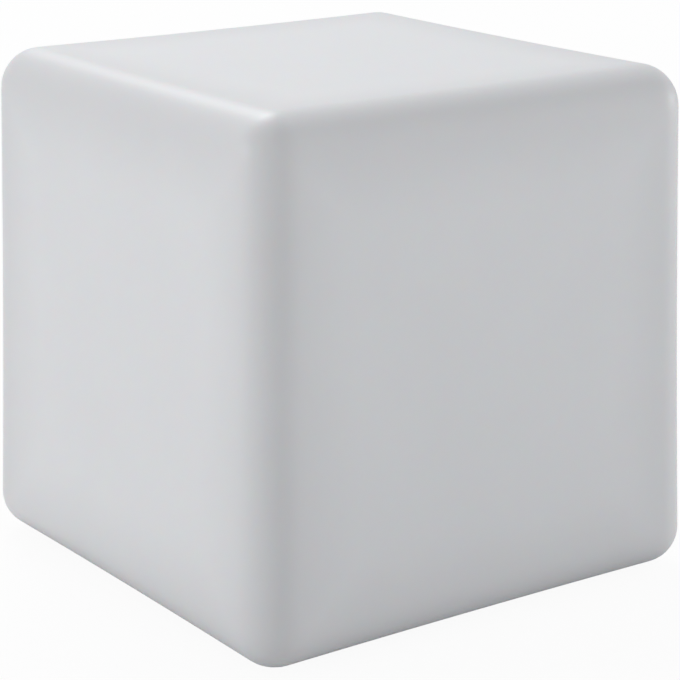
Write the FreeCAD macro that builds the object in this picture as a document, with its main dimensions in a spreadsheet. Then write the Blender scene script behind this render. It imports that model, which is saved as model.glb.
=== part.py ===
import FreeCAD, Part
import math
import os
import re

import Sketcher
from FreeCAD import Placement, Rotation, Vector

# A cube light that is also a seat: a hollow cube moulded in one piece, wider at its base, with
# soft edges and faces that are dished a little, as a moulded hollow cube cools. A round well in
# the base takes a sealed light unit, which is screwed in from below.
# Millimetres. The origin is on the floor under the middle of the cube. +Z is up, -Y is the front.

SIZES = {
    # moulded cube
    "base_width": 410.5,
    "top_width": 388.5,
    "shell_height": 397,
    "edge_radius": 32,
    "face_dish": 3,
    "wall": 4.5,
    # well in the base, and the opening in its ceiling
    "well_radius": 92,
    "well_ceiling": 18,
    "mouth_bevel": 3,
    "opening_radius": 65.5,
    # feet, pressed into dimples in the base
    "foot_stand": 2.5,
    "foot_offset": 150,
    "foot_radius": 13,
    "foot_height": 5.5,
    "foot_bevel": 1.2,
    "foot_fit": 0.2,
    # threaded inserts and the screws that hold the unit
    "insert_count": 6,
    "insert_ring": 79,
    "insert_radius": 3.75,
    "insert_length": 12,
    "insert_boss_wall": 4.25,
    "unit_screw_radius": 2.5,
    "unit_screw_length": 14,
    "unit_head_radius": 4.6,
    "unit_head_height": 2.7,
    "screw_play": 0.25,
    # base of the light unit
    "gasket_thickness": 1,
    "flange_radius": 88,
    "flange_thickness": 4,
    "rim_width": 4,
    "rim_drop": 3,
    "edge_break": 1,
    "panel_radius": 44,
    "panel_depth": 4.5,
    "panel_thickness": 3,
    "panel_wall": 3,
    "spigot_radius": 60,
    "spigot_wall": 3,
    "spigot_height": 11,
    # lamp body, an upturned cup over the spigot
    "spigot_fit": 0.3,
    "body_wall": 3,
    "body_height": 47,
    "deck_thickness": 3,
    "seal_thickness": 1,
    "body_screw_count": 4,
    "body_screw_ring": 52,
    "body_boss_radius": 4,
    "body_screw_radius": 1.5,
    "body_screw_length": 14,
    "small_head_radius": 2.75,
    "small_head_height": 2,
    # push switch in the middle of the panel
    "switch_radius": 8,
    "switch_length": 13,
    "switch_bezel_radius": 10.5,
    "switch_bezel_thickness": 1.5,
    "switch_seal_thickness": 0.5,
    "switch_nut_radius": 11,
    "switch_nut_height": 3.5,
    "hole_play": 0.15,
    "button_radius": 6.5,
    "button_thickness": 4,
    "button_proud": 1.3,
    "button_play": 0.3,
    "button_bore_depth": 8,
    "stem_radius": 2,
    "stem_length": 7.8,
    "stem_room": 2.5,
    "bellows_waves": 4,
    "bellows_crest": 5.8,
    "bellows_root": 4.8,
    "bellows_wall": 0.5,
    "terminal_width": 2.8,
    "terminal_thickness": 0.8,
    "terminal_height": 4,
    "switch_terminal_offset": 4,
    # charging socket with its hinged cover
    "jack_offset": 26,
    "jack_radius": 4,
    "jack_length": 11.5,
    "jack_bezel_radius": 5.5,
    "jack_bezel_thickness": 1.5,
    "jack_bore_radius": 2.8,
    "jack_bore_depth": 11,
    "jack_pin_radius": 1,
    "jack_pin_recess": 3,
    "jack_root_radius": 1.4,
    "jack_nut_radius": 6.5,
    "jack_nut_height": 2.5,
    "jack_terminal_offset": 2.2,
    "strap_thickness": 0.8,
    "strap_ring_radius": 6.6,
    "cover_radius": 5.8,
    "cover_thickness": 1.6,
    "cover_gap": 0.2,
    "cover_stub_radius": 2.2,
    "cover_stub_length": 2,
    "hinge_offset": 8,
    "hinge_pin_radius": 0.6,
    "hinge_play": 0.12,
    "knuckle_radius": 1.25,
    "knuckle_length": 2.8,
    "ear_thickness": 1.4,
    "ear_gap": 0.2,
    # infrared window and status light
    "window_offset": 26,
    "window_radius": 4,
    "window_rim_radius": 5.5,
    "window_rim_thickness": 0.8,
    "pipe_x": 20,
    "pipe_y": 17,
    "pipe_radius": 1.5,
    "pipe_proud": 0.5,
    # control board on posts
    "board_stand": 11,
    "board_thickness": 1.6,
    "board_x": 29,
    "board_width": 30,
    "board_length": 64,
    "board_post_inset": 5,
    "board_post_radius": 3,
    "board_screw_radius": 1.1,
    "board_screw_length": 6,
    "board_head_radius": 2.3,
    "board_head_height": 1.8,
    "receiver_width": 5,
    "receiver_height": 6,
    "status_led_width": 2.4,
    "status_led_height": 1.4,
    "chip_width": 6,
    "chip_height": 1.4,
    "inductor_radius": 4,
    "inductor_height": 5,
    "connector_width": 5,
    "connector_height": 4,
    # battery pack under the deck
    "cell_count": 3,
    "cell_radius": 9.25,
    "cell_length": 65,
    "cell_pitch": 19,
    "pad_thickness": 1.4,
    "cradle_thickness": 2,
    "cradle_width": 84,
    "cradle_length": 66,
    "cradle_rib_width": 2,
    "cradle_rib_height": 3,
    "cradle_post_x": 38,
    "cradle_post_y": 28,
    "cradle_post_radius": 3,
    "cradle_screw_length": 8,
    "tab_thickness": 0.3,
    "tab_width": 7,
    # LED side
    "spreader_radius": 50,
    "spreader_thickness": 1.5,
    "led_board_radius": 48,
    "outer_led_ring": 40,
    "outer_led_count": 16,
    "inner_led_ring": 22,
    "inner_led_count": 8,
    "led_width": 5,
    "led_height": 1.6,
    "led_screw_count": 3,
    "led_screw_ring": 31,
    "led_screw_length": 5,
    "lead_radius": 1.1,
    "lead_bend": 1.8,
    "grommet_radius": 3.2,
    "grommet_lip": 1,
    # diffuser dome
    "dome_flange_radius": 60,
    "dome_flange_thickness": 2,
    "dome_radius": 56,
    "dome_height": 24,
    "dome_wall": 2.5,
    "dome_ring_lip": 5.8,
    "dome_ring_thickness": 1.4,
}

# Levels and radii that follow from the sizes, as rules for the sheet's own arithmetic
GASKET_UNDER = "(well_ceiling - gasket_thickness)"
FLANGE_TOP = GASKET_UNDER
FLANGE_UNDER = f"({FLANGE_TOP} - flange_thickness)"
RIM_UNDER = f"({FLANGE_UNDER} - rim_drop)"
PANEL_UNDER = f"({FLANGE_UNDER} + panel_depth)"
PANEL_TOP = f"({PANEL_UNDER} + panel_thickness)"
SPIGOT_TOP = f"({FLANGE_TOP} + spigot_height)"
SPIGOT_INNER = "(spigot_radius - spigot_wall)"
PANEL_OUTER = "(panel_radius + panel_wall)"
BODY_INNER = "(spigot_radius + spigot_fit)"
BODY_OUTER = f"({BODY_INNER} + body_wall)"
BODY_BOTTOM = f"({FLANGE_TOP} + seal_thickness)"
DECK_TOP = f"({BODY_BOTTOM} + body_height)"
DECK_UNDER = f"({DECK_TOP} - deck_thickness)"
SEAL_UNDER = f"({PANEL_UNDER} - switch_seal_thickness)"
SWITCH_UNDER = f"({SEAL_UNDER} - switch_bezel_thickness)"
SWITCH_TOP = f"({PANEL_UNDER} + switch_length)"
BUTTON_UNDER = f"({SWITCH_UNDER} - button_proud)"
BUTTON_TOP = f"({BUTTON_UNDER} + button_thickness)"
BUTTON_BORE_TOP = f"({SWITCH_UNDER} + button_bore_depth)"
STEM_TOP = f"({BUTTON_TOP} + stem_length)"
STRAP_UNDER = f"({PANEL_UNDER} - strap_thickness)"
JACK_UNDER = f"({STRAP_UNDER} - jack_bezel_thickness)"
JACK_TOP = f"({PANEL_UNDER} + jack_length)"
JACK_BORE_TOP = f"({JACK_UNDER} + jack_bore_depth)"
PIN_TIP = f"({JACK_UNDER} + jack_pin_recess)"
COVER_TOP = f"({JACK_UNDER} - cover_gap)"
COVER_UNDER = f"({COVER_TOP} - cover_thickness)"
HINGE_X = "(-jack_offset - hinge_offset)"
HINGE_Z = f"({COVER_UNDER} + cover_thickness/2)"
BOARD_UNDER = f"({FLANGE_TOP} + board_stand)"
BOARD_TOP = f"({BOARD_UNDER} + board_thickness)"
PAD_UNDER = f"({DECK_UNDER} - pad_thickness)"
CELL_LEVEL = f"({PAD_UNDER} - cell_radius)"
CRADLE_TOP = f"({CELL_LEVEL} - cell_radius)"
CRADLE_UNDER = f"({CRADLE_TOP} - cradle_thickness)"
SPREADER_TOP = f"({DECK_TOP} + spreader_thickness)"
LED_BOARD_TOP = f"({SPREADER_TOP} + board_thickness)"
DOME_UNDER = f"({DECK_TOP} + seal_thickness)"
DOME_BASE = f"({DOME_UNDER} + dome_flange_thickness)"
BOSS_TOP = "(well_ceiling + insert_length + wall)"
LEAD_X = "led_screw_ring"

CORNERS = (("", ""), ("-", ""), ("-", "-"), ("", "-"))
BOARD_ENDS = (("-", "-"), ("-", "+"), ("+", "-"), ("+", "+"))

doc = FreeCAD.newDocument("cube_light")
sheet = doc.addObject("Spreadsheet::Sheet", "sizes")
for row, (name, number) in enumerate(SIZES.items(), start=1):
    sheet.set(f"A{row}", name)
    sheet.set(f"B{row}", str(number))
    sheet.setAlias(f"B{row}", name)
doc.recompute()

pieces = []


def size(name):
    """A size read back from the sheet, for the shapes that code makes."""
    return float(sheet.get(name))


def rule(text):
    """An expression in which each size is led by the name of its sheet."""
    return re.sub(r"[a-z][a-z_]*", lambda word: "sizes." + word.group(), text)


def bind(item, rules):
    """Tie the properties of an object to the sheet."""
    for path, text in rules.items():
        item.setExpression(path, rule(text))


def place(item, x, y, z):
    """Tie an object's place to the sheet."""
    bind(item, {"Placement.Base.x": x, "Placement.Base.y": y, "Placement.Base.z": z})
    return item


def keep(item):
    """Count an object as one piece of the cube light."""
    pieces.append(item)
    return item


# ---------------------------------------------------------------- solids from simple rules

def cylinder(name, radius, bottom, top, x="0", y="0"):
    """An upright round bar between two levels."""
    item = doc.addObject("Part::Cylinder", name)
    bind(item, {"Radius": radius, "Height": f"{top} - ({bottom})"})
    return place(item, x, y, bottom)


def cross_cylinder(name, radius, length, x, z):
    """A round bar along Y, centred on the hinge's middle plane."""
    item = doc.addObject("Part::Cylinder", name)
    item.Placement = Placement(Vector(), Rotation(Vector(1, 0, 0), -90))
    bind(item, {"Radius": radius, "Height": length})
    return place(item, x, f"-({length})/2", z)


def block(name, across, along, bottom, top, x="0", y="0"):
    """A rectangular block between two levels, centred on x and y."""
    item = doc.addObject("Part::Box", name)
    bind(item, {"Length": across, "Width": along, "Height": f"{top} - ({bottom})"})
    return place(item, f"{x} - ({across})/2", f"{y} - ({along})/2", bottom)


def joined(name, items):
    """One solid from several that meet."""
    item = doc.addObject("Part::MultiFuse", name)
    item.Shapes = items
    return item


def grouped(name, items):
    """Separate solids of one kind, kept as one piece."""
    item = doc.addObject("Part::Compound", name)
    item.Links = items
    return item


def cut(name, base, tools):
    """A solid less one or more others."""
    item = doc.addObject("Part::Cut", name)
    item.Base = base
    item.Tool = tools[0] if len(tools) == 1 else joined(f"{name}_cuts", tools)
    return item


def ring(name, inner, outer, bottom, top, x="0", y="0"):
    """A plain washer between two levels."""
    return cut(name, cylinder(f"{name}_disc", outer, bottom, top, x, y),
               [cylinder(f"{name}_hole", inner, bottom, top, x, y)])


def hex_nut(name, corner_radius, bore, bottom, height, x="0"):
    """A thin six-sided nut."""
    prism = doc.addObject("Part::Prism", f"{name}_hexagon")
    prism.Polygon = 6
    bind(prism, {"Circumradius": corner_radius, "Height": height})
    place(prism, x, "0", bottom)
    hole = cylinder(f"{name}_bore", bore, bottom, f"{bottom} + {height}", x)
    return cut(name, prism, [hole])


def outline(body, name, profile):
    """A closed straight-sided sketch on the body's XZ plane, each corner a pair of rules."""
    sketch = body.newObject("Sketcher::SketchObject", name)
    plane = next(item for item in body.Origin.OriginFeatures if item.Role == "XZ_Plane")
    sketch.AttachmentSupport = (plane, [""])
    sketch.MapMode = "FlatFace"
    count = len(profile)
    turn = 2 * math.pi / count
    rough = [Vector(math.cos(turn * n), math.sin(turn * n), 0) for n in range(count)]
    for number in range(count):
        line = Part.LineSegment(rough[number], rough[(number + 1) % count])
        sketch.addGeometry(line, False)
    for number in range(count):
        meet = Sketcher.Constraint("Coincident", number, 2, (number + 1) % count, 1)
        sketch.addConstraint(meet)
    for number, corner in enumerate(profile):
        for kind, text, axis in zip(("DistanceX", "DistanceY"), corner, (-2, -1)):
            if text == "0":
                sketch.addConstraint(Sketcher.Constraint("PointOnObject", number, 1, axis))
                continue
            place_rule = Sketcher.Constraint(kind, -1, 1, number, 1, 1.0)
            datum = sketch.addConstraint(place_rule)
            sketch.setExpression(f"Constraints[{datum}]", rule(text))
    return sketch


def turned(name, profile, at_radius=None, copies=None):
    """A turned solid, or a ring of copies of it about the cube's own axis."""
    body = doc.addObject("PartDesign::Body", name)
    body.AllowCompound = True
    sketch = outline(body, f"{name}_profile", profile)
    if at_radius:
        bind(sketch, {"AttachmentOffset.Base.x": at_radius})
    doc.recompute()
    turning = body.newObject("PartDesign::Revolution", f"{name}_turning")
    turning.Profile = sketch
    turning.ReferenceAxis = (sketch, ["V_Axis"])
    turning.Angle = 360
    body.Tip = turning
    if copies:
        axis = next(item for item in body.Origin.OriginFeatures if item.Role == "Z_Axis")
        pattern = body.newObject("PartDesign::PolarPattern", f"{name}_pattern")
        pattern.Originals = [turning]
        pattern.Axis = (axis, [""])
        pattern.Angle = 360
        bind(pattern, {"Occurrences": copies})
        body.Tip = pattern
    return body


def bar_profile(radius, bottom, top):
    """Half the section of a round bar."""
    return [("0", bottom), (radius, bottom), (radius, top), ("0", top)]


def screw_profile(head_radius, head_height, shank_radius, seat, length):
    """Half the section of a screw that points up, its head under the seat."""
    low = f"({seat} - {head_height})"
    bevel = f"{head_height}/3"
    return [("0", low), (f"{head_radius} - {bevel}", low), (head_radius, f"{low} + {bevel}"),
            (head_radius, seat), (shank_radius, seat), (shank_radius, f"{seat} + {length}"),
            ("0", f"{seat} + {length}")]


def hanging_screw(name, x, y, seat, length, shank_radius, head_radius, head_height):
    """A screw that points down, its head on the seat."""
    head = cylinder(f"{name}_head", head_radius, seat, f"{seat} + {head_height}", x, y)
    shank = cylinder(f"{name}_shank", shank_radius, f"{seat} - {length}", seat, x, y)
    return joined(name, [head, shank])


# ---------------------------------------------------------------- moulded cube

def dished_face(face, depth):
    """A four-sided flat face sunk by depth in its middle, level with its border all round."""
    first, second, third, fourth = [vertex.Point for vertex in face.OuterWire.OrderedVertexes]
    normal = (second - first).cross(fourth - first).normalize()
    inwards = normal if (face.CenterOfMass + normal).Length < face.CenterOfMass.Length else -normal
    surface = Part.BezierSurface()
    surface.increase(4, 4)
    for row in range(5):
        for column in range(5):
            across, along = row / 4, column / 4
            low = first + (second - first) * across
            high = fourth + (third - fourth) * across
            surface.setPole(row + 1, column + 1, low + (high - low) * along)
    middle_weight = (6 / 16) ** 2
    surface.setPole(3, 3, surface.getPole(3, 3) + inwards * (depth / middle_weight))
    return surface.toShape()


def dished_block(top_width, base_width, bottom, height, radius, dish):
    """A drafted block with round edges, each of its six faces dished between the roundings."""
    turns = ((-1, -1), (1, -1), (1, 1), (-1, 1))
    low, high = [[Vector(x * width / 2, y * width / 2, level - height / 2) for x, y in turns]
                 for width, level in ((base_width, 0), (top_width, height))]
    outlines = [low, high] + [[low[side - 1], low[side], high[side], high[side - 1]]
                              for side in range(4)]
    sharp = Part.makeShell([Part.Face(Part.makePolygon(outline + outline[:1]))
                            for outline in outlines])
    sharp.sewShape()
    rounded = Part.Solid(sharp).makeFillet(radius, sharp.Edges)
    shell = Part.makeShell([dished_face(face, dish) if isinstance(face.Surface, Part.Plane)
                            else face for face in rounded.Faces])
    shell.sewShape()
    block = Part.Solid(shell)
    if block.Volume < 0:
        block.reverse()
    block.translate(Vector(0, 0, bottom + height / 2))
    return block


def make_cube_shell():
    """The hollow cube, with its well, bosses for the inserts and dimples for the feet."""
    wall, dish = size("wall"), size("face_dish")
    outer = dished_block(size("top_width"), size("base_width"), size("foot_stand"),
                         size("shell_height"), size("edge_radius"), dish)
    inner = dished_block(size("top_width") - 2 * wall, size("base_width") - 2 * wall,
                         size("foot_stand") + wall, size("shell_height") - 2 * wall,
                         size("edge_radius") - wall, dish)
    hollow = doc.addObject("Part::Feature", "hollow_block")
    hollow.Shape = outer.cut(inner)

    base_skin = "(foot_stand + face_dish/2 + wall/2)"
    boss_radius = "insert_radius + insert_boss_wall"
    solids = [hollow, cylinder("well_drum", "well_radius + wall", base_skin, "well_ceiling + wall")]
    solids.append(turned("insert_bosses", bar_profile(boss_radius, "well_ceiling", BOSS_TOP),
                         "insert_ring", "insert_count"))
    dimples = []
    for number, (sign_x, sign_y) in enumerate(CORNERS, start=1):
        x, y = f"{sign_x}foot_offset", f"{sign_y}foot_offset"
        solids.append(cylinder(f"foot_pad_{number}", "foot_radius + foot_fit + wall",
                               "foot_stand + wall/2", "foot_height + wall", x, y))
        dimples.append(cylinder(f"dimple_{number}", "foot_radius + foot_fit", "0",
                                "foot_height", x, y))
    mouth = doc.addObject("Part::Cone", "well_mouth")
    bind(mouth, {"Radius1": "well_radius + 2*mouth_bevel", "Radius2": "well_radius",
                 "Height": "2*mouth_bevel"})
    place(mouth, "0", "0", "foot_stand + face_dish/2 - mouth_bevel")
    hollows = dimples + [
        mouth,
        cylinder("well_space", "well_radius", "0", "well_ceiling"),
        cylinder("unit_opening", "opening_radius", "well_ceiling", "well_ceiling + wall"),
        turned("insert_holes", bar_profile("insert_radius", "well_ceiling",
                                           "well_ceiling + insert_length"),
               "insert_ring", "insert_count"),
    ]
    keep(cut("cube_shell", joined("shell_with_well", solids), hollows))


def make_inserts():
    """Brass inserts moulded into the bosses, each with a collar groove."""
    groove = "insert_length/6"
    middle = "(well_ceiling + insert_length/2)"
    waist = "(insert_radius - 0.5*screw_play)"
    profile = [("unit_screw_radius", "well_ceiling"), ("insert_radius", "well_ceiling"),
               ("insert_radius", f"{middle} - {groove}"), (waist, f"{middle} - {groove}"),
               (waist, f"{middle} + {groove}"), ("insert_radius", f"{middle} + {groove}"),
               ("insert_radius", "well_ceiling + insert_length"),
               ("unit_screw_radius", "well_ceiling + insert_length")]
    keep(turned("threaded_inserts", profile, "insert_ring", "insert_count"))


def make_feet():
    """Round rubber feet with a bevelled lower rim and a hollow middle."""
    feet = []
    for number, (sign_x, sign_y) in enumerate(CORNERS, start=1):
        x, y = f"{sign_x}foot_offset", f"{sign_y}foot_offset"
        rim = doc.addObject("Part::Cone", f"foot_rim_{number}")
        bind(rim, {"Radius1": "foot_radius - foot_bevel", "Radius2": "foot_radius",
                   "Height": "foot_bevel"})
        place(rim, x, y, "0")
        top = cylinder(f"foot_top_{number}", "foot_radius", "foot_bevel", "foot_height", x, y)
        cup = cylinder(f"foot_cup_{number}", "foot_radius/2", "0", "foot_bevel", x, y)
        feet.append(cut(f"foot_{number}", joined(f"foot_solid_{number}", [rim, top]), [cup]))
    keep(grouped("rubber_feet", feet))


# ---------------------------------------------------------------- base of the light unit

def board_post_places():
    """Places of the board's four posts, in from its corners."""
    half_x = "(board_width/2 - board_post_inset)"
    half_y = "(board_length/2 - board_post_inset)"
    return [(f"board_x {sign_x} {half_x}", f"0 {sign_y} {half_y}")
            for sign_x, sign_y in BOARD_ENDS]


def make_unit_base():
    """Flange with a turned-down rim, a sunk control panel, a spigot and posts for the board."""
    rim_inner = "(flange_radius - rim_width)"
    profile = [("0", PANEL_UNDER), ("panel_radius", PANEL_UNDER), ("panel_radius", FLANGE_UNDER),
               (rim_inner, FLANGE_UNDER), (rim_inner, RIM_UNDER),
               ("flange_radius - edge_break", RIM_UNDER),
               ("flange_radius", f"{RIM_UNDER} + edge_break"), ("flange_radius", FLANGE_TOP),
               ("spigot_radius", FLANGE_TOP), ("spigot_radius", SPIGOT_TOP),
               (SPIGOT_INNER, SPIGOT_TOP), (SPIGOT_INNER, FLANGE_TOP),
               (PANEL_OUTER, FLANGE_TOP), (PANEL_OUTER, PANEL_TOP), ("0", PANEL_TOP)]
    plate = turned("unit_base_plate", profile)
    posts, pilots = [], []
    for number, (x, y) in enumerate(board_post_places(), start=1):
        posts.append(cylinder(f"board_post_{number}", "board_post_radius", FLANGE_TOP,
                              BOARD_UNDER, x, y))
        pilots.append(cylinder(f"board_pilot_{number}", "board_screw_radius",
                               f"{BOARD_TOP} - board_screw_length", BOARD_UNDER, x, y))
    holes = pilots + [
        turned("unit_screw_holes", bar_profile("unit_screw_radius + screw_play", FLANGE_UNDER,
                                               FLANGE_TOP), "insert_ring", "insert_count"),
        turned("body_screw_holes", bar_profile("body_screw_radius + screw_play", FLANGE_UNDER,
                                               FLANGE_TOP), "body_screw_ring",
               "body_screw_count"),
        cylinder("switch_hole", "switch_radius + hole_play", PANEL_UNDER, PANEL_TOP),
        cylinder("jack_hole", "jack_radius + hole_play", PANEL_UNDER, PANEL_TOP,
                 "-jack_offset"),
        cylinder("window_hole", "window_radius", PANEL_UNDER, PANEL_TOP, "window_offset"),
        cylinder("pipe_hole", "pipe_radius", PANEL_UNDER, PANEL_TOP, "pipe_x", "pipe_y"),
    ]
    keep(cut("unit_base", joined("unit_base_blank", [plate] + posts), holes))


def make_seals_and_unit_screws():
    """Flat gasket under the well's ceiling, seal under the lamp body, and the screws."""
    gasket = ring("gasket_blank", f"{BODY_OUTER} + screw_play", "flange_radius", GASKET_UNDER,
                  "well_ceiling")
    holes = turned("gasket_holes", bar_profile("unit_screw_radius + screw_play", GASKET_UNDER,
                                               "well_ceiling"), "insert_ring", "insert_count")
    keep(cut("flange_gasket", gasket, [holes]))
    keep(ring("body_seal", BODY_INNER, BODY_OUTER, FLANGE_TOP, BODY_BOTTOM))
    keep(turned("unit_screws", screw_profile("unit_head_radius", "unit_head_height",
                                             "unit_screw_radius", FLANGE_UNDER,
                                             "unit_screw_length"),
                "insert_ring", "insert_count"))
    keep(turned("body_screws", screw_profile("small_head_radius", "small_head_height",
                                             "body_screw_radius", FLANGE_UNDER,
                                             "body_screw_length"),
                "body_screw_ring", "body_screw_count"))


# ---------------------------------------------------------------- push switch

def make_switch():
    """Panel push switch: bezel and barrel, seal, nut, button and terminals."""
    bore = "button_radius + button_play"
    stem_bore = "stem_radius + button_play"
    profile = [(bore, SWITCH_UNDER), ("switch_bezel_radius - edge_break/2", SWITCH_UNDER),
               ("switch_bezel_radius", f"{SWITCH_UNDER} + edge_break/2"),
               ("switch_bezel_radius", SEAL_UNDER), ("switch_radius", SEAL_UNDER),
               ("switch_radius", SWITCH_TOP), ("0", SWITCH_TOP),
               ("0", f"{STEM_TOP} + stem_room"), (stem_bore, f"{STEM_TOP} + stem_room"),
               (stem_bore, BUTTON_BORE_TOP), (bore, BUTTON_BORE_TOP)]
    keep(turned("switch_barrel", profile))
    keep(ring("switch_seal", "switch_radius", "switch_bezel_radius", SEAL_UNDER, PANEL_UNDER))
    keep(hex_nut("switch_nut", "switch_nut_radius", "switch_radius", PANEL_TOP,
                 "switch_nut_height"))
    cap_edge = "edge_break/2"
    cap = [("0", BUTTON_UNDER), (f"button_radius - {cap_edge}", BUTTON_UNDER),
           ("button_radius", f"{BUTTON_UNDER} + {cap_edge}"), ("button_radius", BUTTON_TOP),
           ("stem_radius", BUTTON_TOP), ("stem_radius", STEM_TOP), ("0", STEM_TOP)]
    keep(turned("power_button", cap))
    tabs = [block(f"switch_terminal_{side}", "terminal_thickness", "terminal_width", SWITCH_TOP,
                  f"{SWITCH_TOP} + terminal_height", f"{sign}switch_terminal_offset")
            for side, sign in (("near", ""), ("far", "-"))]
    keep(grouped("switch_terminals", tabs))


def make_button_bellows():
    """Moulded bellows that seals the stem and pushes the button back out."""
    step = f"(({BUTTON_BORE_TOP} - {BUTTON_TOP})/(2*bellows_waves))"
    folds = range(2 * int(size("bellows_waves")) + 1)
    levels = [f"{BUTTON_TOP} + {fold}*{step}" for fold in folds]
    radii = ["bellows_crest" if fold % 2 else "bellows_root" for fold in folds]
    outside = list(zip(radii, levels))
    inside = [(f"{radius} - bellows_wall", level) for radius, level in outside[::-1]]
    keep(turned("button_bellows", outside + inside))


# ---------------------------------------------------------------- charging socket

def make_jack():
    """Round charging socket: barrel, centre pin, nut and terminals."""
    jack_x = "-jack_offset"
    body = joined("jack_blank", [
        cylinder("jack_bezel", "jack_bezel_radius", JACK_UNDER, STRAP_UNDER, jack_x),
        cylinder("jack_thread", "jack_radius", STRAP_UNDER, JACK_TOP, jack_x)])
    keep(cut("jack_barrel", body, [
        cylinder("jack_bore", "jack_bore_radius", JACK_UNDER, JACK_BORE_TOP, jack_x),
        cylinder("jack_root_seat", "jack_root_radius", JACK_BORE_TOP, JACK_TOP, jack_x)]))
    keep(joined("jack_pin", [
        cylinder("jack_pin_tip", "jack_pin_radius", PIN_TIP, JACK_BORE_TOP, jack_x),
        cylinder("jack_pin_root", "jack_root_radius", JACK_BORE_TOP, JACK_TOP, jack_x)]))
    keep(hex_nut("jack_nut", "jack_nut_radius", "jack_radius", PANEL_TOP, "jack_nut_height",
                 jack_x))
    tabs = [block(f"jack_terminal_{side}", "terminal_width", "terminal_thickness", JACK_TOP,
                  f"{JACK_TOP} + terminal_height", jack_x, f"{sign}jack_terminal_offset")
            for side, sign in (("near", ""), ("far", "-"))]
    keep(grouped("jack_terminals", tabs))


def make_jack_cover():
    """Soft cover on a strap: a ring round the socket carries two ears and the hinge pin."""
    jack_x = "-jack_offset"
    ear_y = "(knuckle_length/2 + ear_gap + ear_thickness/2)"
    tongue_width = f"2*({ear_y} + ear_thickness/2)"
    tongue_length = "(hinge_offset + knuckle_radius)"
    strap = [
        cylinder("strap_disc", "strap_ring_radius", STRAP_UNDER, PANEL_UNDER, jack_x),
        block("strap_tongue", tongue_length, tongue_width, STRAP_UNDER, PANEL_UNDER,
              f"-jack_offset - {tongue_length}/2"),
        cross_cylinder("strap_pin", "hinge_pin_radius", tongue_width, HINGE_X, HINGE_Z)]
    for side, sign in (("near", ""), ("far", "-")):
        strap.append(block(f"strap_ear_{side}", "2*knuckle_radius", "ear_thickness",
                           f"{HINGE_Z} - knuckle_radius", PANEL_UNDER, HINGE_X,
                           f"{sign}{ear_y}"))
    keep(cut("jack_cover_strap", joined("strap_blank", strap),
             [cylinder("strap_hole", "jack_radius", STRAP_UNDER, PANEL_UNDER, jack_x)]))
    neck_length = "hinge_offset"
    cover = joined("cover_blank", [
        cylinder("cover_disc", "cover_radius", COVER_UNDER, COVER_TOP, jack_x),
        cylinder("cover_stub", "cover_stub_radius", COVER_TOP,
                 f"{COVER_TOP} + cover_stub_length", jack_x),
        block("cover_neck", neck_length, "knuckle_length", COVER_UNDER, COVER_TOP,
              f"-jack_offset - {neck_length}/2"),
        cross_cylinder("cover_knuckle", "knuckle_radius", "knuckle_length", HINGE_X, HINGE_Z)])
    keep(cut("jack_cover", cover, [
        cross_cylinder("knuckle_bore", "hinge_pin_radius + hinge_play", "knuckle_length",
                       HINGE_X, HINGE_Z)]))


# ---------------------------------------------------------------- control board

def make_window_and_pipe():
    """Infrared window and the light pipe of the status light, both pushed into the panel."""
    keep(joined("ir_window", [
        cylinder("window_rim", "window_rim_radius", f"{PANEL_UNDER} - window_rim_thickness",
                 PANEL_UNDER, "window_offset"),
        cylinder("window_plug", "window_radius", PANEL_UNDER, PANEL_TOP, "window_offset")]))
    keep(cylinder("status_light_pipe", "pipe_radius", f"{PANEL_UNDER} - pipe_proud",
                  f"{BOARD_UNDER} - status_led_height", "pipe_x", "pipe_y"))


def make_control_board():
    """Control board with its screws, parts and connectors."""
    plate = block("board_plate", "board_width", "board_length", BOARD_UNDER, BOARD_TOP,
                  "board_x")
    holes, screws = [], []
    for number, (x, y) in enumerate(board_post_places(), start=1):
        holes.append(cylinder(f"board_hole_{number}", "board_screw_radius", BOARD_UNDER,
                              BOARD_TOP, x, y))
        screws.append(hanging_screw(f"board_screw_{number}", x, y, BOARD_TOP,
                                    "board_screw_length", "board_screw_radius",
                                    "board_head_radius", "board_head_height"))
    keep(cut("control_board", plate, holes))
    keep(grouped("control_board_screws", screws))
    keep(block("ir_receiver", "receiver_width", "receiver_width",
               f"{BOARD_UNDER} - receiver_height", BOARD_UNDER, "window_offset"))
    keep(block("status_led", "status_led_width", "status_led_width",
               f"{BOARD_UNDER} - status_led_height", BOARD_UNDER, "pipe_x", "pipe_y"))
    chip_top = f"{BOARD_TOP} + chip_height"
    chip_places = (("-board_width/6", "board_length/6"), ("-board_width/12", "-board_length/6"),
                   ("board_width/4", "-board_length/5"))
    keep(grouped("control_chips", [
        block(f"chip_{number}", "chip_width", "chip_width", BOARD_TOP, chip_top,
              f"board_x + {x}", f"0 + {y}")
        for number, (x, y) in enumerate(chip_places, start=1)]))
    coil_places = (("board_width/4", "board_length/5"), ("-board_width/4", "board_length/3.2"))
    keep(grouped("power_inductors", [
        cylinder(f"inductor_{number}", "inductor_radius", BOARD_TOP,
                 f"{BOARD_TOP} + inductor_height", f"board_x + {x}", f"0 + {y}")
        for number, (x, y) in enumerate(coil_places, start=1)]))
    connector_top = f"{BOARD_TOP} + connector_height"
    keep(grouped("board_connectors", [
        block(f"connector_{name}", "connector_width", "connector_width", BOARD_TOP,
              connector_top, x, y) for name, (x, y) in CONNECTORS.items()]))


CONNECTORS = {
    "leds": (LEAD_X, "0"),
    "cells": ("(board_x - board_width/3)", "-(board_length/3.2)"),
    "switch": ("(board_x - 0.38*board_width)", "-(board_length/11)"),
    "jack": ("(board_x - 0.38*board_width)", "(board_length/11)"),
}


# ---------------------------------------------------------------- lamp body and battery

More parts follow.
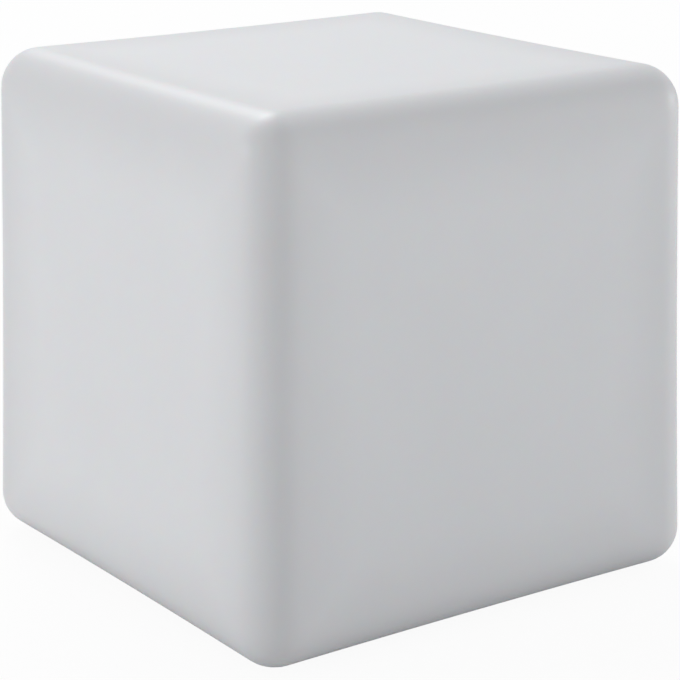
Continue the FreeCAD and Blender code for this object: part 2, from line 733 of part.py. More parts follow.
def make_lamp_body():
    """Upturned cup with bosses for its screws and posts that carry the battery cradle."""
    cup = turned("body_cup", [(BODY_INNER, BODY_BOTTOM), (BODY_OUTER, BODY_BOTTOM),
                              (BODY_OUTER, DECK_TOP), ("0", DECK_TOP), ("0", DECK_UNDER),
                              (BODY_INNER, DECK_UNDER)])
    bosses = turned("body_bosses", bar_profile("body_boss_radius", FLANGE_TOP, DECK_UNDER),
                    "body_screw_ring", "body_screw_count")
    posts, pilots = [], []
    for number, (sign_x, sign_y) in enumerate(CORNERS, start=1):
        x, y = f"{sign_x}cradle_post_x", f"{sign_y}cradle_post_y"
        posts.append(cylinder(f"cradle_post_{number}", "cradle_post_radius", CRADLE_TOP,
                              DECK_UNDER, x, y))
        pilots.append(cylinder(f"cradle_pilot_{number}", "board_screw_radius", CRADLE_TOP,
                               f"{CRADLE_UNDER} + cradle_screw_length", x, y))
    holes = pilots + [
        turned("body_pilots", bar_profile("body_screw_radius", FLANGE_TOP,
                                          f"{FLANGE_UNDER} + body_screw_length"),
               "body_screw_ring", "body_screw_count"),
        led_screw_ring("led_pilots", bar_profile("board_screw_radius", DECK_UNDER, DECK_TOP)),
        cylinder("lead_hole", "grommet_radius", DECK_UNDER, DECK_TOP, LEAD_X)]
    keep(cut("lamp_body", joined("lamp_body_blank", [cup, bosses] + posts), holes))


def led_screw_ring(name, profile):
    """A ring of three about the axis, turned half a step away from the lead."""
    body = turned(name, profile, "led_screw_ring", "led_screw_count")
    body.setExpression("Placement.Rotation.Angle", rule("180/led_screw_count"))
    return body


def make_battery():
    """Three cells in a cradle under the deck, with their pad, tabs and screws."""
    cells, tabs = [], []
    half_step = "(cell_count - 1)/2"
    for number in range(int(size("cell_count"))):
        x = f"({number} - {half_step})*cell_pitch"
        cells.append(cross_cylinder(f"cell_{number + 1}", "cell_radius", "cell_length", x,
                                    CELL_LEVEL))
    keep(grouped("battery_cells", cells))
    span = "cell_pitch*(cell_count - 1)"
    keep(block("battery_pad", f"{span} + cell_radius", "cell_length", PAD_UNDER, DECK_UNDER))
    for side, sign in (("near", "-"), ("far", "")):
        tabs.append(block(f"tab_{side}", f"{span} + tab_width", "tab_thickness",
                          f"{CELL_LEVEL} - tab_width/2", f"{CELL_LEVEL} + tab_width/2", "0",
                          f"{sign}(cell_length/2 + tab_thickness/2)"))
    keep(grouped("cell_tabs", tabs))

    plate = block("cradle_plate", "cradle_width", "cradle_length", CRADLE_UNDER, CRADLE_TOP)
    ribs = [block(f"cradle_rib_{number + 1}", "cradle_rib_width", "cell_length", CRADLE_TOP,
                  f"{CRADLE_TOP} + cradle_rib_height",
                  f"({number} - {half_step} + 1/2)*cell_pitch")
            for number in range(int(size("cell_count")) - 1)]
    holes = [cylinder("cradle_lead_hole", "2*lead_radius", CRADLE_UNDER, CRADLE_TOP, LEAD_X)]
    screws = []
    for number, (sign_x, sign_y) in enumerate(CORNERS, start=1):
        x, y = f"{sign_x}cradle_post_x", f"{sign_y}cradle_post_y"
        holes.append(cylinder(f"cradle_hole_{number}", "board_screw_radius", CRADLE_UNDER,
                              CRADLE_TOP, x, y))
        head = cylinder(f"cradle_head_{number}", "board_head_radius",
                        f"{CRADLE_UNDER} - board_head_height", CRADLE_UNDER, x, y)
        shank = cylinder(f"cradle_shank_{number}", "board_screw_radius", CRADLE_UNDER,
                         f"{CRADLE_UNDER} + cradle_screw_length", x, y)
        screws.append(joined(f"cradle_screw_{number}", [head, shank]))
    keep(cut("battery_cradle", joined("cradle_blank", [plate] + ribs), holes))
    keep(grouped("cradle_screws", screws))


# ---------------------------------------------------------------- LEDs and dome

def make_led_side():
    """Heat spreader, LED board, LED packages, screws and the connector of the lead."""
    for name, radius, bottom, top in (
            ("heat_spreader", "spreader_radius", DECK_TOP, SPREADER_TOP),
            ("led_board", "led_board_radius", SPREADER_TOP, LED_BOARD_TOP)):
        disc = cylinder(f"{name}_disc", radius, bottom, top)
        keep(cut(name, disc, [
            led_screw_ring(f"{name}_holes", bar_profile("board_screw_radius", bottom, top)),
            cylinder(f"{name}_lead_hole", "grommet_radius", bottom, top, LEAD_X)]))
    rings = []
    for name, radius, count in (("outer", "outer_led_ring", "outer_led_count"),
                                ("inner", "inner_led_ring", "inner_led_count")):
        for number in range(int(size(count))):
            chip = doc.addObject("Part::Box", f"{name}_led_{number + 1}")
            bind(chip, {"Length": "led_width", "Width": "led_width", "Height": "led_height"})
            angle = 360 * (number + 0.5) / size(count)
            spin = Rotation(Vector(0, 0, 1), angle)
            corner = spin.multVec(Vector(size(radius) - size("led_width") / 2,
                                         -size("led_width") / 2, 0))
            chip.Placement = Placement(corner, spin)
            bind(chip, {"Placement.Base.z": LED_BOARD_TOP})
            rings.append(chip)
    keep(grouped("led_packages", rings))
    low = f"{LED_BOARD_TOP} - led_screw_length"
    head_top = f"{LED_BOARD_TOP} + board_head_height"
    keep(led_screw_ring("led_board_screws", [
        ("0", low), ("board_screw_radius", low), ("board_screw_radius", LED_BOARD_TOP),
        ("board_head_radius", LED_BOARD_TOP), ("board_head_radius", head_top),
        ("0", head_top)]))
    keep(block("led_connector", "2*connector_width", "connector_width", LED_BOARD_TOP,
               f"{LED_BOARD_TOP} + board_head_height", LEAD_X))
    lip = "(grommet_radius + grommet_lip)"
    grommet = joined("grommet_blank", [
        cylinder("grommet_flange", lip, f"{DECK_UNDER} - grommet_lip", DECK_UNDER, LEAD_X),
        cylinder("grommet_sleeve", "grommet_radius", DECK_UNDER, LED_BOARD_TOP, LEAD_X)])
    keep(cut("lead_grommet", grommet, [
        cylinder("grommet_bore", "lead_radius", f"{DECK_UNDER} - grommet_lip", LED_BOARD_TOP,
                 LEAD_X)]))
    keep(cylinder("led_lead", "lead_radius", f"{BOARD_TOP} + connector_height", LED_BOARD_TOP,
                  LEAD_X))


def make_dome():
    """Seal, diffuser dome with its flange, and the ring that holds it down."""
    inner = "(dome_radius - dome_wall)"
    keep(ring("dome_seal", inner, "dome_flange_radius", DECK_TOP, DOME_UNDER))
    caps = []
    for name, radius, height in (("outer", "dome_radius", "dome_height"),
                                 ("inner", inner, "(dome_height - dome_wall)")):
        ball_radius = f"(({radius}*{radius} + {height}*{height})/(2*{height}))"
        ball = doc.addObject("Part::Sphere", f"dome_ball_{name}")
        bind(ball, {"Radius": ball_radius})
        place(ball, "0", "0", f"{DOME_BASE} + {height} - {ball_radius}")
        drum = cylinder(f"dome_drum_{name}", radius, DOME_BASE, f"{DOME_BASE} + dome_height")
        cap = doc.addObject("Part::Common", f"dome_cap_{name}")
        cap.Base, cap.Tool = ball, drum
        caps.append(cap)
    flange = cylinder("dome_flange", "dome_flange_radius", DOME_UNDER, DOME_BASE)
    keep(cut("diffuser_dome", joined("dome_blank", [flange, caps[0]]), [
        caps[1], cylinder("dome_mouth", inner, DOME_UNDER, DOME_BASE)]))
    ring_inner = "(dome_flange_radius + hole_play)"
    lip_inner = f"({BODY_OUTER} - dome_ring_lip)"
    lip_top = f"({DOME_BASE} + dome_ring_thickness)"
    keep(turned("dome_ring", [
        (ring_inner, DECK_TOP), (BODY_OUTER, DECK_TOP), (BODY_OUTER, f"{lip_top} - edge_break/2"),
        (f"{BODY_OUTER} - edge_break/2", lip_top), (lip_inner, lip_top),
        (lip_inner, DOME_BASE), (ring_inner, DOME_BASE)]))


# ---------------------------------------------------------------- leads inside the unit

def lead(name, points):
    """A lead through the points: straight runs joined by arcs that touch them."""
    bend, radius = size("lead_bend"), size("lead_radius")
    edges = []
    start = points[0]
    for before, corner, after in zip(points, points[1:], points[2:]):
        way_in = (corner - before).normalize()
        way_out = (after - corner).normalize()
        half_turn = way_in.getAngle(way_out) / 2
        reach = bend * math.tan(half_turn)
        arc_start = corner - way_in * reach
        arc_end = corner + way_out * reach
        inward = (way_out - way_in).normalize()
        arc_middle = corner + inward * (bend / math.cos(half_turn) - bend)
        edges.append(Part.LineSegment(start, arc_start).toShape())
        edges.append(Part.Arc(arc_start, arc_middle, arc_end).toShape())
        start = arc_end
    edges.append(Part.LineSegment(start, points[-1]).toShape())
    path = Part.Wire(edges)
    heading = (points[1] - points[0]).normalize()
    section = Part.Face(Part.Wire([Part.makeCircle(radius, points[0], heading)]))
    item = doc.addObject("Part::Feature", name)
    item.Shape = path.makePipe(section)
    return keep(item)


def make_leads():
    """Leads from the cells, the switch and the charging socket to the board."""
    floor = size("well_ceiling") - size("gasket_thickness")
    panel = floor - size("flange_thickness") + size("panel_depth")
    sockets = floor + size("board_stand") + size("board_thickness") + size("connector_height")
    deck = floor + size("seal_thickness") + size("body_height") - size("deck_thickness")
    cell_level = deck - size("pad_thickness") - size("cell_radius")
    over = sockets + size("lead_bend") + 2 * size("lead_radius")
    wide, long = size("board_width"), size("board_length")
    cells_x = size("board_x") - wide / 3
    switch_x = size("board_x") - 0.38 * wide
    tab_face = -size("cell_length") / 2 - size("tab_thickness")
    outside = tab_face - size("lead_bend") - size("lead_radius")
    lead("battery_lead", [
        Vector(cells_x, tab_face, cell_level), Vector(cells_x, outside, cell_level),
        Vector(cells_x, outside, over), Vector(cells_x, -long / 3.2, over),
        Vector(cells_x, -long / 3.2, sockets)])
    switch_tab = panel + size("switch_length") + size("terminal_height")
    lead("switch_lead", [
        Vector(size("switch_terminal_offset"), 0, switch_tab),
        Vector(size("switch_terminal_offset"), 0, over),
        Vector(switch_x, -long / 11, over), Vector(switch_x, -long / 11, sockets)])
    jack_tab = panel + size("jack_length") + size("terminal_height")
    jack_y = size("jack_terminal_offset")
    lead("jack_lead", [
        Vector(-size("jack_offset"), jack_y, jack_tab),
        Vector(-size("jack_offset"), jack_y, over),
        Vector(switch_x, long / 11, over), Vector(switch_x, long / 11, sockets)])


make_cube_shell()
make_inserts()
make_feet()
make_unit_base()
make_seals_and_unit_screws()
make_switch()
make_button_bellows()
make_jack()
make_jack_cover()
make_window_and_pipe()
make_control_board()
make_lamp_body()
make_battery()
make_led_side()
make_dome()
make_leads()
doc.recompute()

failed = [item.Label for item in doc.Objects if {"Invalid", "Error"} & set(item.State)]
bad = [item.Label for item in pieces
       if item.Shape.isNull() or not item.Shape.isValid() or not item.Shape.Solids]
if failed or bad:
    raise RuntimeError(f"failed objects: {failed}, bad shapes: {bad}")

os.makedirs("parts", exist_ok=True)
for item in pieces:
    item.Shape.exportStep(f"parts/{item.Label}.step")
print(len(pieces), "pieces,", sum(len(item.Shape.Solids) for item in pieces), "solids")
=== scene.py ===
"""Cube light in moulded polyethylene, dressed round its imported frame.

Lengths are in metres, but for the outlines and screw sizes, which are in millimetres. The origin is
on the floor under the middle of the cube, +Z is up and -Y is the front. The cube's skin is one
smooth dished shell; the light unit shows only from below.
"""

from __future__ import annotations

import logging
import math
from collections.abc import Callable, Iterable, Sequence
from dataclasses import dataclass, field
from enum import Enum

import bpy
from mathutils import Matrix, Vector

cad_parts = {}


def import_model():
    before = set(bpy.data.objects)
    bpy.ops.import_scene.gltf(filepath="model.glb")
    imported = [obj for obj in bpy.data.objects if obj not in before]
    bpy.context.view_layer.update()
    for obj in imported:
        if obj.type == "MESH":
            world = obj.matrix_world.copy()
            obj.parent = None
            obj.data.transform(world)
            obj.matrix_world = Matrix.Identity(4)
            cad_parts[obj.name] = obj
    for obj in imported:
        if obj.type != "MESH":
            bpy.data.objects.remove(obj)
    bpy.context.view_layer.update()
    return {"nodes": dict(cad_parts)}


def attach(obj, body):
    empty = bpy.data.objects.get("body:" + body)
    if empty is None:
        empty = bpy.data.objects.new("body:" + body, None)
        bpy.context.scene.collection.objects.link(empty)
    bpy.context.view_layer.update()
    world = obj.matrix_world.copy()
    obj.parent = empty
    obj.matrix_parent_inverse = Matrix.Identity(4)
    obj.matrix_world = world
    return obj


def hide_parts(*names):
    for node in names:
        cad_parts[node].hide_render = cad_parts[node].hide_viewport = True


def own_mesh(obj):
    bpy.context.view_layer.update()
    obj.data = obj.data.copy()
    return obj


LOG = logging.getLogger("cube_light")
MM = 0.001
MERGE_DISTANCE = 1e-6
BLOCK_HALF = 0.2
PAINTED_SHADE_START = 0.56
MOTTLE_DETAIL = 3.0
GRAIN_DETAIL = 4.0
TINT_START = 0.3
TINT_END = 0.7
LEAST_ROUGHNESS = 0.02
RELIEF_SHARE = 0.5
BEVEL_ANGLE = 32.0
ROD_SIDES = 48

Outline = Sequence[tuple[float, float]]


class Rider(Enum):
    """Bodies that a piece can ride on."""

    UNIT = "root"
    BUTTON = "power_button"
    COVER = "jack_cover"


# ---------------------------------------------------------------- finishes


@dataclass(frozen=True)
class Finish:
    """One surface finish, with its grain, mottling and bump on object coordinates."""

    name: str
    colour: tuple[float, float, float]
    roughness: float
    slot: str
    metallic: float = 0.0
    mottling: float = 0.05
    mottle_scale: float = 30.0
    grain_scale: float = 1800.0
    bump: float = 0.1
    roughness_spread: float = 0.06
    stretch: tuple[float, float, float] = (1.0, 1.0, 1.0)
    sheen: float = 0.0
    coat: float = 0.0
    transmission: float = 0.0
    subsurface: float = 0.0
    subsurface_depth: float = 0.004
    # Painted shade: how much darker the colour is painted at the block's edges.
    painted_edge_shade: float = 0.0

    def material(self) -> bpy.types.Material:
        """Build the finish's material, once, under a name that the frame's own don't have.

        Returns:
            The Blender material of this finish.
        """
        title = f"finish_{self.name}"
        known = bpy.data.materials.get(title)
        if known:
            return known
        made = bpy.data.materials.new(title)
        made.use_nodes = True
        nodes, links = made.node_tree.nodes, made.node_tree.links
        shader = nodes["Principled BSDF"]
        shader.inputs["Metallic"].default_value = self.metallic
        shader.inputs["Sheen Weight"].default_value = self.sheen
        shader.inputs["Coat Weight"].default_value = self.coat
        shader.inputs["Transmission Weight"].default_value = self.transmission
        shader.inputs["Subsurface Weight"].default_value = self.subsurface
        shader.inputs["Subsurface Scale"].default_value = self.subsurface_depth

        place = nodes.new("ShaderNodeTexCoord")
        mapping = nodes.new("ShaderNodeMapping")
        mapping.inputs["Scale"].default_value = self.stretch
        links.new(place.outputs["Object"], mapping.inputs["Vector"])

        mottle = self._noise(nodes, links, mapping, self.mottle_scale, MOTTLE_DETAIL)
        grain = self._noise(nodes, links, mapping, self.grain_scale, GRAIN_DETAIL)

        tint = nodes.new("ShaderNodeValToRGB")
        dark = [channel * (1.0 - self.mottling) for channel in self.colour]
        light = [min(1.0, channel * (1.0 + self.mottling)) for channel in self.colour]
        tint.color_ramp.elements[0].position = TINT_START
        tint.color_ramp.elements[1].position = TINT_END
        tint.color_ramp.elements[0].color = (*dark, 1.0)
        tint.color_ramp.elements[1].color = (*light, 1.0)
        links.new(mottle.outputs["Fac"], tint.inputs["Fac"])
        colour = tint.outputs["Color"]
        # Painted shade: the colour is darkened towards the block's edges and corners.
        if self.painted_edge_shade:
            colour = self._paint_edge_shade(nodes, links, place, colour)
        links.new(colour, shader.inputs["Base Color"])

        gloss = nodes.new("ShaderNodeMapRange")
        gloss.inputs["To Min"].default_value = max(LEAST_ROUGHNESS,
                                                   self.roughness - self.roughness_spread)
        gloss.inputs["To Max"].default_value = min(1.0, self.roughness + self.roughness_spread)
        links.new(grain.outputs["Fac"], gloss.inputs["Value"])
        links.new(gloss.outputs["Result"], shader.inputs["Roughness"])

        relief = nodes.new("ShaderNodeBump")
        relief.inputs["Strength"].default_value = self.bump
        relief.inputs["Distance"].default_value = RELIEF_SHARE / self.grain_scale
        links.new(grain.outputs["Fac"], relief.inputs["Height"])
        links.new(relief.outputs["Normal"], shader.inputs["Normal"])
        return made

    def _paint_edge_shade(self, nodes: bpy.types.Nodes, links: bpy.types.NodeLinks,
                     place: bpy.types.Node, colour: bpy.types.NodeSocket
                     ) -> bpy.types.NodeSocket:
        """Paint shade into a colour: darker towards the edges and rounded corners of the block, to
        stand for the shading there.

        Args:
            nodes: The material's nodes.
            links: The material's links.
            place: The node that gives the object coordinates.
            colour: The socket of the plain colour.

        Returns:
            The socket of the shaded colour.
        """
        fit = nodes.new("ShaderNodeMapping")
        fit.inputs["Scale"].default_value = (1.0 / BLOCK_HALF,) * 3
        fit.inputs["Location"].default_value = (0.0, 0.0, -1.0)
        links.new(place.outputs["Object"], fit.inputs["Vector"])
        away = nodes.new("ShaderNodeVectorMath")
        away.operation = "ABSOLUTE"
        links.new(fit.outputs["Vector"], away.inputs[0])
        split = nodes.new("ShaderNodeSeparateXYZ")
        links.new(away.outputs["Vector"], split.inputs["Vector"])

        def pair(operation: str, first: bpy.types.NodeSocket, second: bpy.types.NodeSocket
                 ) -> bpy.types.NodeSocket:
            """The smaller or larger of two values."""
            math_node = nodes.new("ShaderNodeMath")
            math_node.operation = operation
            links.new(first, math_node.inputs[0])
            links.new(second, math_node.inputs[1])
            return math_node.outputs[0]

        across, along, up = split.outputs
        smaller = pair("MINIMUM", across, along)
        larger = pair("MAXIMUM", across, along)
        second_largest = pair("MAXIMUM", smaller, pair("MINIMUM", larger, up))
        # Painted shade: full colour in the middle of each face, a shade darker towards the edges.
        tone = nodes.new("ShaderNodeMapRange")
        tone.interpolation_type = "SMOOTHSTEP"
        tone.inputs["From Min"].default_value = PAINTED_SHADE_START
        tone.inputs["To Min"].default_value = 1.0
        tone.inputs["To Max"].default_value = 1.0 - self.painted_edge_shade
        links.new(second_largest, tone.inputs["Value"])
        shaded = nodes.new("ShaderNodeVectorMath")
        shaded.operation = "SCALE"
        links.new(colour, shaded.inputs[0])
        links.new(tone.outputs["Result"], shaded.inputs["Scale"])
        return shaded.outputs["Vector"]

    @staticmethod
    def _noise(nodes: bpy.types.Nodes, links: bpy.types.NodeLinks, mapping: bpy.types.Node,
               scale: float, detail: float) -> bpy.types.Node:
        """Add a noise texture on the mapped coordinates.

        Args:
            nodes: The material's nodes.
            links: The material's links.
            mapping: The node that gives the coordinates.
            scale: Waves in a metre.
            detail: Octaves.

        Returns:
            The noise node.
        """
        noise = nodes.new("ShaderNodeTexNoise")
        noise.inputs["Scale"].default_value = scale
        noise.inputs["Detail"].default_value = detail
        links.new(mapping.outputs["Vector"], noise.inputs["Vector"])
        return noise


# The polyethylene carries painted shade at the block's edges.
POLYETHYLENE = Finish("moulded_polyethylene", (0.80, 0.80, 0.815), 0.46, "moulded_polyethylene",
                      mottling=0.006, mottle_scale=14.0, grain_scale=850.0, bump=0.035,
                      roughness_spread=0.05, subsurface=0.25, subsurface_depth=0.006,
                      painted_edge_shade=0.1)
WHITE_PLASTIC = Finish("white_plastic", (0.76, 0.76, 0.77), 0.52, "white_plastic",
                       mottling=0.012, grain_scale=2600.0, bump=0.12)
GREY_PLASTIC = Finish("grey_plastic", (0.42, 0.43, 0.44), 0.55, "light_grey_plastic",
                      grain_scale=2600.0, bump=0.12)
BLACK_PLASTIC = Finish("black_plastic", (0.028, 0.028, 0.03), 0.4, "black_plastic",
                       grain_scale=3200.0, bump=0.08)
RUBBER = Finish("black_rubber", (0.035, 0.035, 0.036), 0.78, "black_rubber", mottling=0.12,
                grain_scale=2200.0, bump=0.22, sheen=0.15)
SILICONE = Finish("grey_silicone", (0.3, 0.31, 0.32), 0.6, "grey_silicone", grain_scale=1600.0)
STEEL = Finish("stainless_steel", (0.6, 0.6, 0.61), 0.27, "stainless_steel", metallic=1.0,
               grain_scale=2400.0, bump=0.05, stretch=(1.0, 1.0, 6.0), roughness_spread=0.09)
NICKEL = Finish("nickel", (0.66, 0.63, 0.58), 0.22, "nickel", metallic=1.0, bump=0.04)
BRASS = Finish("brass", (0.72, 0.53, 0.24), 0.3, "brass", metallic=1.0, bump=0.06)
ALUMINIUM = Finish("aluminium", (0.76, 0.77, 0.78), 0.38, "aluminium", metallic=1.0,
                   stretch=(1.0, 12.0, 1.0), bump=0.08)
DIFFUSER = Finish("milky_diffuser", (0.86, 0.86, 0.87), 0.3, "milky_diffuser", mottling=0.01,
                  bump=0.03, transmission=0.35, subsurface=0.3)
WINDOW = Finish("smoked_window", (0.035, 0.006, 0.012), 0.08, "smoked_window", coat=0.6,
                bump=0.01, transmission=0.15)
PIPE = Finish("clear_pipe", (0.85, 0.88, 0.92), 0.12, "clear_pipe", bump=0.01, transmission=0.8)
WHITE_BOARD = Finish("white_board", (0.78, 0.79, 0.78), 0.35, "white_board", mottling=0.02)
GREEN_BOARD = Finish("green_board", (0.02, 0.16, 0.06), 0.32, "green_board", mottling=0.25,
                     mottle_scale=260.0, coat=0.3)
LED_CASE = Finish("led_package", (0.86, 0.76, 0.36), 0.35, "led_package", grain_scale=4000.0)
CHIP = Finish("chip_black", (0.018, 0.018, 0.02), 0.6, "chip_black", grain_scale=5000.0)
CELL_SLEEVE = Finish("cell_sleeve", (0.05, 0.2, 0.42), 0.28, "cell_sleeve", mottling=0.04)
FOAM = Finish("foam", (0.06, 0.06, 0.06), 0.95, "foam", grain_scale=900.0, bump=0.7)
LEAD = Finish("lead_sleeve", (0.36, 0.015, 0.012), 0.5, "lead_sleeve", grain_scale=2000.0)
MARK = Finish("printed_mark", (0.03, 0.09, 0.2), 0.4, "black_plastic", mottling=0.02)

NODE_FINISHES: dict[str, Finish] = {
    "threaded_inserts": BRASS, "flange_gasket": SILICONE, "body_seal": SILICONE,
    "lamp_body": WHITE_PLASTIC, "switch_seal": RUBBER, "switch_nut": STEEL,
    "button_bellows": SILICONE, "switch_terminals": NICKEL, "jack_barrel": BLACK_PLASTIC,
    "jack_pin": NICKEL, "jack_nut": NICKEL, "jack_terminals": NICKEL, "jack_cover_strap": RUBBER,
    "control_board": GREEN_BOARD, "control_board_screws": STEEL, "ir_receiver": CHIP,
    "status_led": LED_CASE, "control_chips": CHIP, "power_inductors": CHIP,
    "board_connectors": WHITE_PLASTIC, "battery_cells": CELL_SLEEVE, "battery_pad": FOAM,
    "cell_tabs": NICKEL, "battery_cradle": GREY_PLASTIC, "cradle_screws": STEEL,
    "heat_spreader": ALUMINIUM, "led_board": WHITE_BOARD, "led_packages": LED_CASE,
    "led_board_screws": STEEL, "led_connector": WHITE_PLASTIC, "lead_grommet": RUBBER,
    "led_lead": LEAD, "dome_seal": SILICONE, "dome_ring": WHITE_PLASTIC, "battery_lead": LEAD,
    "switch_lead": LEAD, "jack_lead": LEAD,
}


# ---------------------------------------------------------------- bench tools


def deselect() -> None:
    """Leave edit mode and select nothing."""
    if bpy.context.object and bpy.context.object.mode != "OBJECT":
        bpy.ops.object.mode_set(mode="OBJECT")
    bpy.ops.object.select_all(action="DESELECT")


def pick(*pieces: bpy.types.Object) -> None:
    """Select these pieces and make the last one active."""
    deselect()
    for piece in pieces:
        piece.select_set(True)
        bpy.context.view_layer.objects.active = piece


def rename(piece: bpy.types.Object, name: str) -> bpy.types.Object:
    """Give a piece and its mesh one name."""
    piece.name = name
    piece.data.name = name
    return piece


def settle(piece: bpy.types.Object) -> bpy.types.Object:
    """Move a piece's place into its mesh, so that its object sits at the origin."""
    pick(piece)
    bpy.ops.object.transform_apply(location=True, rotation=True, scale=True)
    return piece


def turn(name: str, outline: Outline, centre: tuple[float, float] = (0.0, 0.0), steps: int = 96,
         sweep: float = math.tau) -> bpy.types.Object:
    """Turn a half-section about an upright axis.

    Args:
        name: The piece's name.
        outline: Radius and height of each point of the half-section, in metres.
        centre: Where the axis stands.
        steps: Steps round the axis.
        sweep: How far round it goes.

    Returns:
        The turned piece.
    """
    deselect()
    bpy.ops.mesh.primitive_plane_add(size=MM)
    piece = rename(bpy.context.object, name)
    bpy.ops.object.mode_set(mode="EDIT")
    bpy.ops.mesh.select_all(action="SELECT")
    bpy.ops.mesh.merge(type="CENTER")
    start = outline[0]
    bpy.ops.transform.translate(value=(centre[0] + start[0], centre[1], start[1]))
    for before, after in zip(outline, outline[1:]):
        step = (after[0] - before[0], 0.0, after[1] - before[1])
        bpy.ops.mesh.extrude_region_move(TRANSFORM_OT_translate={"value": step})
    bpy.ops.mesh.select_all(action="SELECT")
    bpy.ops.mesh.spin(steps=steps, angle=sweep, center=(*centre, 0.0), axis=(0.0, 0.0, 1.0))
    if sweep < math.tau:
        bpy.ops.mesh.select_all(action="DESELECT")
        bpy.ops.mesh.select_non_manifold()
        bpy.ops.mesh.fill()
    bpy.ops.mesh.select_all(action="SELECT")
    bpy.ops.mesh.remove_doubles(threshold=MERGE_DISTANCE)
    bpy.ops.mesh.normals_make_consistent(inside=False)
    deselect()
    return piece


def scaled(outline: Outline) -> list[tuple[float, float]]:
    """An outline written in millimetres, in metres."""
    return [(radius * MM, height * MM) for radius, height in outline]


def apply_modifiers(piece: bpy.types.Object) -> bpy.types.Object:
    """Apply all of a piece's modifiers, in order."""
    pick(piece)
    for modifier in list(piece.modifiers):
        bpy.ops.object.modifier_apply(modifier=modifier.name)
    return piece


def round_edges(piece: bpy.types.Object, width: float, segments: int = 3) -> bpy.types.Object:
    """Round a piece's sharp edges.

    Args:
        piece: The piece.
        width: Width of the rounding, in metres.
        segments: Facets across it.

    Returns:
        The same piece.
    """
    bevel = piece.modifiers.new("rounding", "BEVEL")
    bevel.width = width
    bevel.segments = segments
    bevel.limit_method = "ANGLE"
    bevel.angle_limit = math.radians(BEVEL_ANGLE)
    return apply_modifiers(piece)


def smooth(piece: bpy.types.Object, angle: float = 38.0) -> bpy.types.Object:
    """Shade a piece smooth, but for its sharp edges."""
    pick(piece)
    bpy.ops.object.shade_smooth_by_angle(angle=math.radians(angle))
    return piece


def combine(piece: bpy.types.Object, tool: bpy.types.Object, operation: str) -> bpy.types.Object:
    """Cut a tool out of a piece, or weld it on, and discard the tool.

    Args:
        piece: The piece that stays.
        tool: The solid that is used up.
        operation: "DIFFERENCE" or "UNION".

    Returns:
        The piece.
    """
    modifier = piece.modifiers.new("cut", "BOOLEAN")
    modifier.operation = operation
    modifier.object = tool
    modifier.solver = "EXACT"
    apply_modifiers(piece)
    bpy.data.objects.remove(tool, do_unlink=True)
    return piece


def join(name: str, pieces: Sequence[bpy.types.Object]) -> bpy.types.Object:
    """Join pieces into one object under a new name."""
    pick(*pieces)
    bpy.ops.object.join()
    return rename(bpy.context.object, name)


def copied(piece: bpy.types.Object, shift: Vector) -> bpy.types.Object:
    """A copy of a piece with its own mesh, moved by a shift."""
    twin = piece.copy()
    twin.data = piece.data.copy()
    twin.data.transform(Matrix.Translation(shift))
    bpy.context.collection.objects.link(twin)
    return twin


def rod(name: str, radius: float, low: float, high: float, x: float, y: float
        ) -> bpy.types.Object:
    """An upright round bar between two heights."""
    deselect()
    bpy.ops.mesh.primitive_cylinder_add(vertices=ROD_SIDES, radius=radius, depth=high - low,
                                        location=(x, y, (low + high) / 2))
    return settle(rename(bpy.context.object, name))


def bar(name: str, size: Sequence[float], middle: Sequence[float]) -> bpy.types.Object:
    """A rectangular bar about its middle."""
    deselect()
    bpy.ops.mesh.primitive_cube_add(size=1.0, location=middle)
    piece = rename(bpy.context.object, name)
    piece.scale = size
    return settle(piece)


def ring_places(radius: float, count: int) -> list[tuple[float, float]]:
    """Places round a ring, the first on +X."""
    return [(radius * math.cos(math.tau * n / count), radius * math.sin(math.tau * n / count))
            for n in range(count)]


def hand_over(piece: bpy.types.Object, finish: Finish, rider: Rider, *nodes: str) -> None:
    """Dress a piece, put it on its body and hide the frame's nodes that it stands for.

    Args:
        piece: The finished piece.
        finish: Its finish.
        rider: The body that it rides on.
        nodes: The frame's nodes that it replaces.
    """
    piece.data.materials.clear()
    piece.data.materials.append(finish.material())
    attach(piece, rider.value)
    if nodes:
        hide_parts(*nodes)
    LOG.info("%s: %d faces, %s", piece.name, len(piece.data.polygons), finish.name)


# ---------------------------------------------------------------- moulded cube


